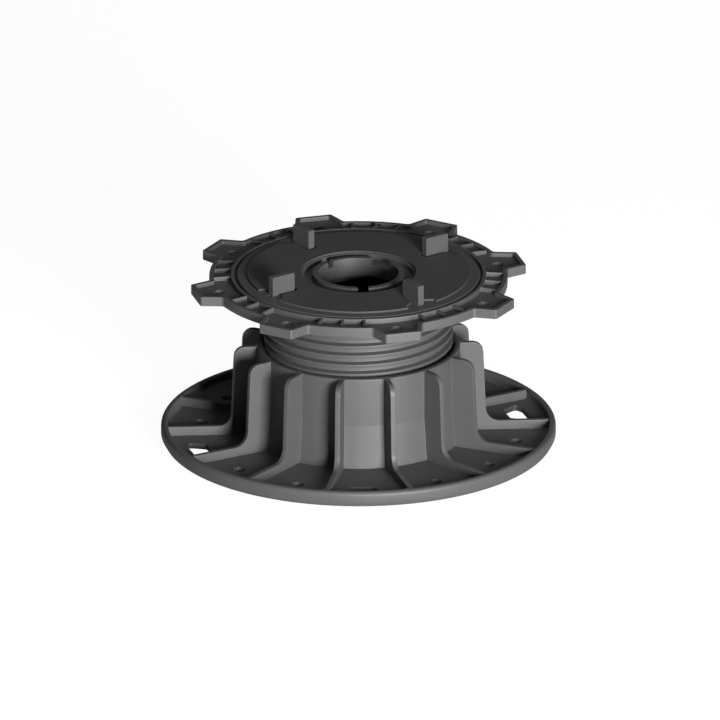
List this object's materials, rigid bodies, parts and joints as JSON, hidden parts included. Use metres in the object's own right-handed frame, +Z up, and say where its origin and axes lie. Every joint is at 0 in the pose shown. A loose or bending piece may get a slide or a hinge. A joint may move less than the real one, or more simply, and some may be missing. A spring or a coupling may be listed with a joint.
{
  "type": "adjustable floor pedestal",
  "caption": "Adjustable screw pedestal for raised floors: ribbed round base with a threaded cup, hollow screw with a star-shaped head, turning disc with spacer tabs, rubber pad.",
  "frame": {"origin": "centre of the base's underside, on the screw axis", "axes": "+Z up along the screw axis, -Y to the front, +X to the right"},
  "size_m": [0.2, 0.2, 0.0988],
  "materials": {
    "base_plastic": "satin moulded polypropylene",
    "screw_plastic": "satin moulded polypropylene",
    "disc_plastic": "satin moulded polypropylene",
    "pad_rubber": "matt"
  },
  "bodies": {
    "base": {"base": "base_plastic"},
    "disc": {"support_disc": "disc_plastic", "rubber_pad": "pad_rubber"},
    "screw": {"screw_head": "screw_plastic"}
  },
  "joints": [
    {"name": "height_slide", "type": "slide", "parent": "base", "child": "disc", "axis": [0, 0, 1], "range_m": [-0.03, 0.005]},
    {"name": "screw_turn", "type": "hinge", "parent": "disc", "child": "screw", "pos_m": [0, 0, 0.084], "axis": [0, 0, 1], "range_deg": [-2160, 360]}
  ],
  "couplings": [
    {"joint": "height_slide", "follows": "screw_turn", "m_per_rad": 0.00079577}
  ]
}
